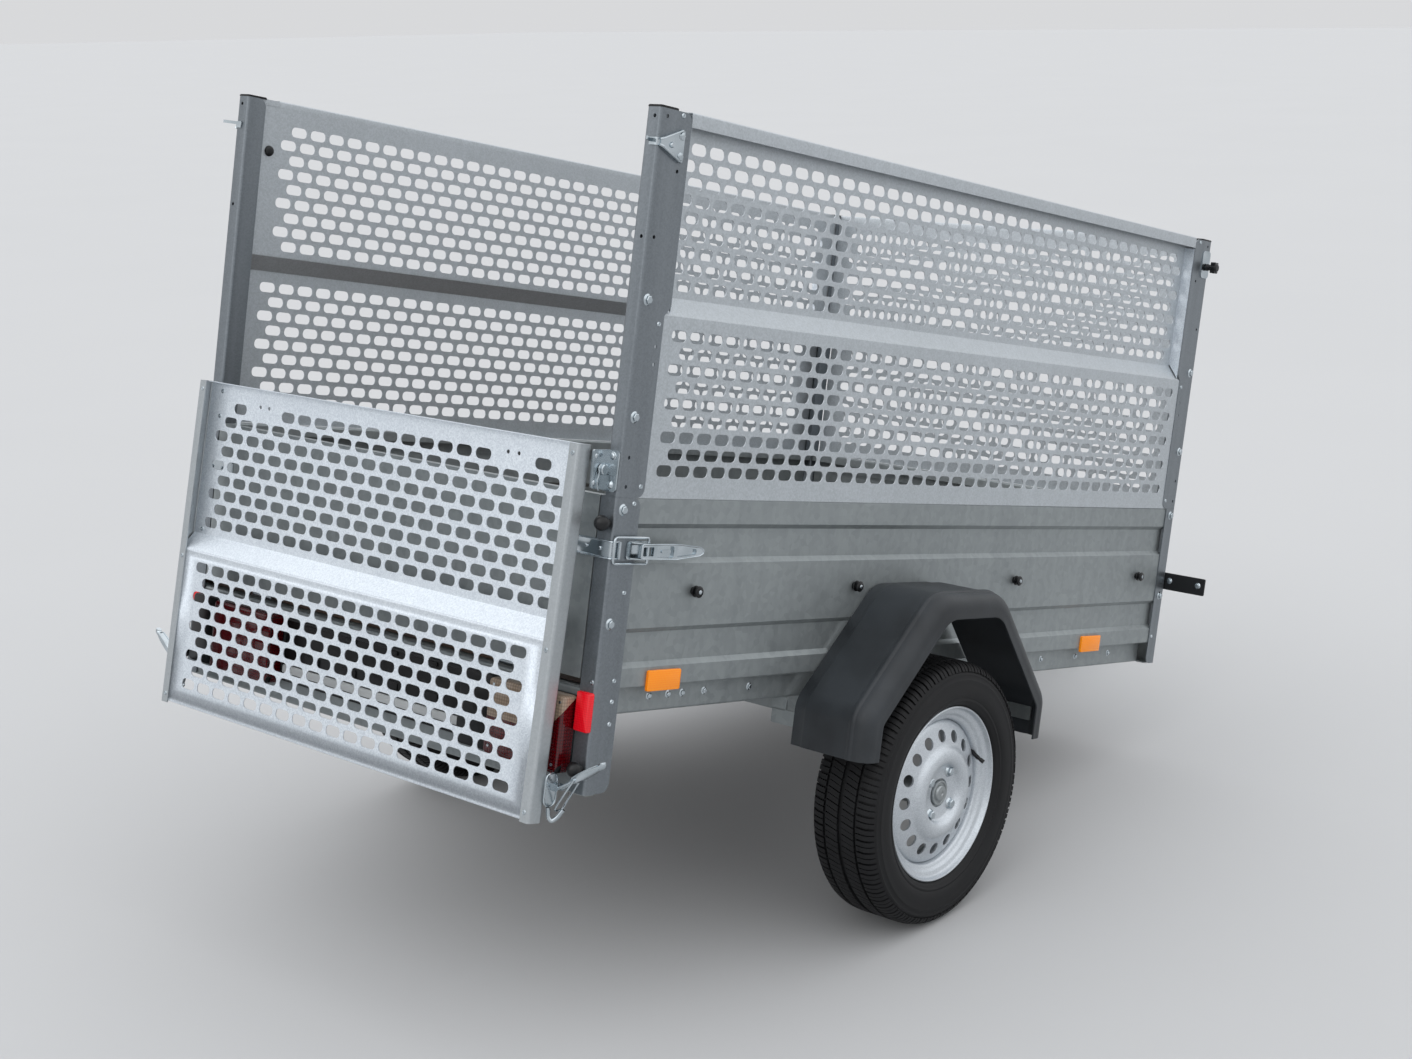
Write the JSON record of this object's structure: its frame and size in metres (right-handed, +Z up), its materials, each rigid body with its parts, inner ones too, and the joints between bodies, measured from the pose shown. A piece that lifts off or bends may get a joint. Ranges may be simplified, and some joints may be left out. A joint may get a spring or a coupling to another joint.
{
  "type": "utility trailer",
  "caption": "Single-axle box trailer, galvanized, with perforated extension sides, fold-down perforated gate and plastic mudguards; parked nose-down.",
  "frame": {"origin": "on the ground, at the centre of the footprint of the parked trailer", "axes": "+X towards the coupling, +Y to the trailer's left, +Z up; parked nose-down, so the box slopes down towards +X by 11.49 degrees"},
  "size_m": [2.9356, 1.51, 1.6729],
  "materials": {
    "amber_reflector": "gloss",
    "black_plastic": "matte",
    "bright_zinc": "satin",
    "galvanized": "satin",
    "galvanized_sheet": "satin",
    "plywood": "satin",
    "red_lens": "gloss",
    "red_reflector": "gloss",
    "rim_paint": "satin",
    "tyre": "matte"
  },
  "bodies": {
    "trailer": {"axle_beam": "galvanized", "axle_hangers": "galvanized", "coupling_head": "bright_zinc", "drawbar": "galvanized", "extension_post_front_left": "galvanized", "extension_post_front_right": "galvanized", "extension_post_rear_left": "galvanized", "extension_post_rear_right": "galvanized", "floor_bearers": "galvanized", "floor_panel": "plywood", "front_post_left": "galvanized", "front_post_right": "galvanized", "front_rail": "galvanized", "front_wall": "galvanized", "gate_catches": "bright_zinc", "gate_hinge_brackets": "bright_zinc", "lamp_carrier": "galvanized", "marker_brackets": "black_plastic", "mesh_front": "galvanized_sheet", "mesh_side_left": "galvanized_sheet", "mesh_side_right": "galvanized_sheet", "mudguard_brackets": "galvanized", "mudguard_left": "black_plastic", "mudguard_right": "black_plastic", "number_plate": "black_plastic", "post_caps": "black_plastic", "post_joiners": "galvanized", "post_knobs": "black_plastic", "rear_bar": "galvanized", "rear_post_left": "galvanized", "rear_post_right": "galvanized", "rear_rail": "galvanized", "rear_reflectors": "red_reflector", "side_rail_left": "galvanized", "side_rail_right": "galvanized", "side_reflectors": "amber_reflector", "side_wall_left": "galvanized", "side_wall_right": "galvanized", "tail_lamps": "red_lens", "tailgate": "galvanized", "tailgate_hinges": "bright_zinc", "tailgate_latches": "bright_zinc", "tailgate_straps": "bright_zinc", "tarp_buttons": "black_plastic", "trailing_arm_left": "galvanized", "trailing_arm_right": "galvanized"},
    "wheel_left": {"tyre_left": "tyre", "rim_left": "rim_paint", "hub_left": "bright_zinc"},
    "wheel_right": {"tyre_right": "tyre", "rim_right": "rim_paint", "hub_right": "bright_zinc"},
    "gate": {"gate_channel_left": "galvanized", "gate_channel_right": "galvanized", "gate_latches": "bright_zinc", "gate_lugs": "bright_zinc", "gate_panel": "galvanized_sheet"}
  },
  "joints": [
    {"name": "wheel_left_spin", "type": "hinge", "parent": "trailer", "child": "wheel_left", "pos_m": [-0.48631, 0.668, 0.2735], "axis": [0, 1, 0], "continuous": true},
    {"name": "wheel_right_spin", "type": "hinge", "parent": "trailer", "child": "wheel_right", "pos_m": [-0.48631, -0.668, 0.2735], "axis": [0, 1, 0], "continuous": true},
    {"name": "gate_hinge", "type": "hinge", "parent": "trailer", "child": "gate", "pos_m": [-1.27143, 0, 1.06475], "axis": [0, 1, 0], "range_deg": [0, 178]}
  ]
}
